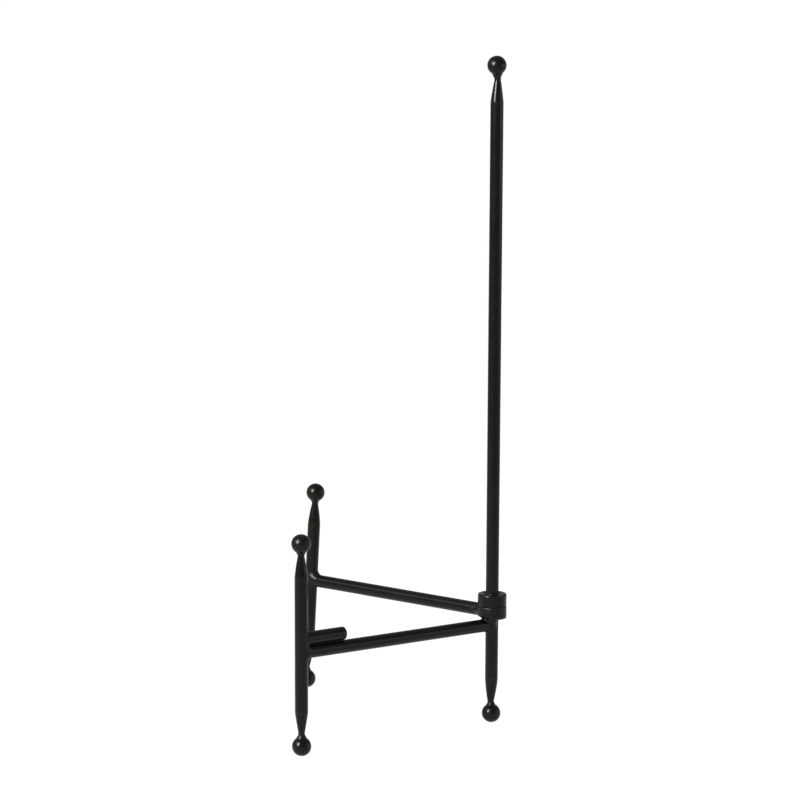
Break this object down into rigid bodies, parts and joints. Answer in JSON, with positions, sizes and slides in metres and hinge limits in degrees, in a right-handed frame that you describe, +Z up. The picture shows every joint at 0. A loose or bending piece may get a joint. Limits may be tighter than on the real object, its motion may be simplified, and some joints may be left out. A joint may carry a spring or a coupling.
{
  "type": "tabletop easel",
  "caption": "Tall round-bar post with ball ends, a fixed front leg on a low arm with a rest peg, and a second front leg on an arm that swings about the post on a collar.",
  "frame": {"origin": "on the table plane, on the axis of the post, which is also the axis that the left leg swings about", "axes": "+Z up along the post; the open front of the easel faces -Y; +X is the viewer's right, the side of the fixed leg"},
  "size_m": [0.2195, 0.1588, 0.4944],
  "materials": {
    "black_paint": "satin black paint over mild steel bar, welds painted over"
  },
  "bodies": {
    "post_frame": {"post_rod": "black_paint", "post_top_ball": "black_paint", "post_foot_ball": "black_paint", "post_top_ball_weld": "black_paint", "post_foot_ball_weld": "black_paint", "stop_collar": "black_paint", "stop_collar_weld": "black_paint", "right_arm": "black_paint", "right_arm_rear_weld": "black_paint", "right_arm_front_weld": "black_paint", "right_leg_rod": "black_paint", "right_leg_top_ball": "black_paint", "right_leg_foot_ball": "black_paint", "right_leg_top_ball_weld": "black_paint", "right_leg_foot_ball_weld": "black_paint", "rest_peg": "black_paint", "rest_peg_weld": "black_paint"},
    "swing_leg": {"swing_collar": "black_paint", "left_arm": "black_paint", "left_arm_collar_weld": "black_paint", "left_arm_front_weld": "black_paint", "left_leg_rod": "black_paint", "left_leg_top_ball": "black_paint", "left_leg_foot_ball": "black_paint", "left_leg_top_ball_weld": "black_paint", "left_leg_foot_ball_weld": "black_paint"}
  },
  "joints": [
    {"name": "leg_swing", "type": "hinge", "parent": "post_frame", "child": "swing_leg", "pos_m": [0, 0, 0.0842], "axis": [0, 0, 1], "range_deg": [-282, 68]}
  ]
}
